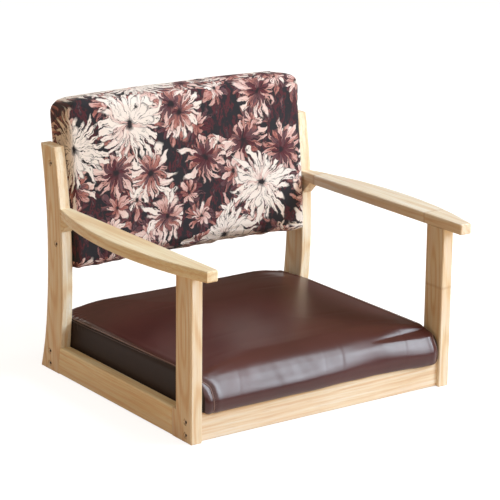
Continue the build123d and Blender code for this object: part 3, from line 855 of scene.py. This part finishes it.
def back():
    nodes = ["back_cover", "back_front_foam", "back_rear_foam"]
    inside = ["back_left_stile", "back_right_stile", "back_top_rail", "back_bottom_rail", "back_panel"]
    pad = pad_blank("back_cushion", nodes + inside)
    across, up, out = back_frame(points_of(pad.data)).T
    rear = out < out.min() + back_held_rear
    held = rear | (np.abs(across) > seat_half - back_held_side)
    swell(pad, held, back_swell)
    refine(pad)
    points = points_of(pad.data)
    local = back_frame(points)
    points += normals_of(pad.data) * back_folds(local)[:, None]
    across, up, out = local.T
    edge = eased(up - up.min(), *wave_zone)
    points[:, 2] -= edge * rumple(local * np.array((1, 0, 0)), *hem_wave)
    crown = corner_lift * eased(up.max() - up, *crown_zone)
    share = np.abs(across) / seat_half
    points[:, 2] += crown * crown_bow * (2 * share ** 2 - 1)
    points[:, 0] += np.sign(across) * crown * eased(share, *crown_side)
    put_points(pad.data, points)
    lay_print(pad.data)
    pad.data.shade_smooth()
    pad.data.materials.append(print_cloth())
    dress(pad, "back_fabric", *nodes)


# Dust cover

def dust_cover():
    low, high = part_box("seat_dust_cover")
    size = high - low
    middle = (low + high) / 2
    grid = bmesh.new()
    bmesh.ops.create_grid(grid, x_segments=dust_columns, y_segments=dust_rows, size=0.5)
    for point in grid.verts:
        x, y = point.co.x * size.x, point.co.y * size.y
        sag = dust_sag * math.cos(math.pi * point.co.x) * math.cos(math.pi * point.co.y)
        tuck = dust_rumple * math.sin(x * dust_waves[0]) * math.sin(y * dust_waves[1])
        point.co = (middle.x + x, middle.y + y, low.z + dust_height - sag + tuck)
    mesh = mesh_from(grid, "dust_cover")
    s = Shader("black_nonwoven")
    place = s.add("TexCoord").outputs["Object"]
    fibres = s.noise(place, 900.0, 3.0, 0.7)
    s.set(Base_Color=s.ramp(fibres, (0.35, 0.012), (0.7, 0.035)), Roughness=0.9)
    s.set(Normal=s.bump(fibres, 0.0002, 0.6))
    mesh.materials.append(s.material)
    piece = placed("dust_cover", mesh)
    dress(piece, "dust_cloth", "seat_dust_cover")


# Studio

def softbox(name, place, target, size, long_side, power, colour):
    """Area lamp that faces a target, with its longer side along a direction."""
    light = bpy.data.lights.new(name, "AREA")
    light.shape = "RECTANGLE"
    light.size, light.size_y = size
    light.energy = power
    light.color = colour
    away = (Vector(place) - Vector(target)).normalized()
    across = Vector(long_side)
    across = (across - away * across.dot(away)).normalized()
    turn = Matrix((across, away.cross(across), away)).transposed()
    placed(name, light).matrix_world = Matrix.Translation(place) @ turn.to_4x4()


def sky():
    """Plain studio: dim near the floor, bright overhead."""
    world = bpy.data.worlds.new("studio")
    world.use_nodes = True
    bpy.context.scene.world = world
    tree = world.node_tree
    direction = tree.nodes.new("ShaderNodeTexCoord")
    axes = tree.nodes.new("ShaderNodeSeparateXYZ")
    ramp = tree.nodes.new("ShaderNodeValToRGB")
    low, high = ramp.color_ramp.elements
    low.position, low.color = 0.3, (0.11, 0.077, 0.046, 1)
    high.position, high.color = 0.95, (0.62, 0.46, 0.30, 1)
    tree.links.new(direction.outputs["Generated"], axes.inputs[0])
    tree.links.new(axes.outputs["Z"], ramp.inputs[0])
    tree.links.new(ramp.outputs[0], tree.nodes["Background"].inputs["Color"])


def floor():
    """Pale floor that is white to the camera and in reflections, and keeps the chair's shadow."""
    reach = 60.0
    mesh = bpy.data.meshes.new("floor")
    corners = [(-reach, -reach, 0), (reach, -reach, 0), (reach, reach, 0), (-reach, reach, 0)]
    mesh.from_pydata(corners, [], [(0, 1, 2, 3)])
    s = Shader("pale_floor")
    s.set(Base_Color=(0.78, 0.52, 0.28, 1), Roughness=0.9)
    path = s.add("LightPath")
    seen = path.outputs["Is Camera Ray"]
    for other in ("Is Glossy Ray", "Is Transmission Ray"):
        seen = s.math("MAXIMUM", seen, path.outputs[other])
    shade = s.add("BsdfDiffuse", {"Color": (0.35, 0.35, 0.35, 1)})
    glow = s.add("Emission", {"Strength": 0.84})
    pale = s.add("AddShader", {0: shade.outputs[0], 1: glow.outputs[0]})
    choice = s.add("MixShader", {0: seen, 1: s.surface.outputs[0], 2: pale.outputs[0]})
    s.tree.links.new(choice.outputs[0], s.tree.nodes["Material Output"].inputs["Surface"])
    mesh.materials.append(s.material)
    plane = placed("floor", mesh)


def studio():
    sky()
    floor()
    middle = (0.05, -0.1, 0.12)
    softbox("window", (2.29, -1.38, 2.49), middle, (2.3, 1.3), (0, 0.91, 0.41), 104, (0.78, 0.9, 1.0))
    softbox("window_front", (2.35, -2.6, 1.72), middle, (1.7, 1.7), (0, 0, 1), 62, (0.78, 0.9, 1.0))
    softbox("front_fill", (0.2, -5.5, 3.5), middle, (4.6, 4.6), (1, 0, 0), 94, (0.97, 0.99, 1.0))
    softbox("rear_fill", (-0.9, 4.0, 1.6), middle, (2.4, 1.2), (1, 0, 0), 25, (1.0, 0.96, 0.9))


def camera():
    lens = bpy.data.cameras.new("camera")
    lens.lens = camera_lens
    lens.sensor_width = camera_sensor
    view = placed("camera", lens)
    view.location = camera_place
    view.rotation_euler = Euler([math.radians(angle) for angle in camera_turn], "XYZ")
    bpy.context.scene.camera = view


timber()
hardware()
seat()
back()
dust_cover()
studio()
camera()
bpy.context.scene.view_settings.view_transform = "Standard"
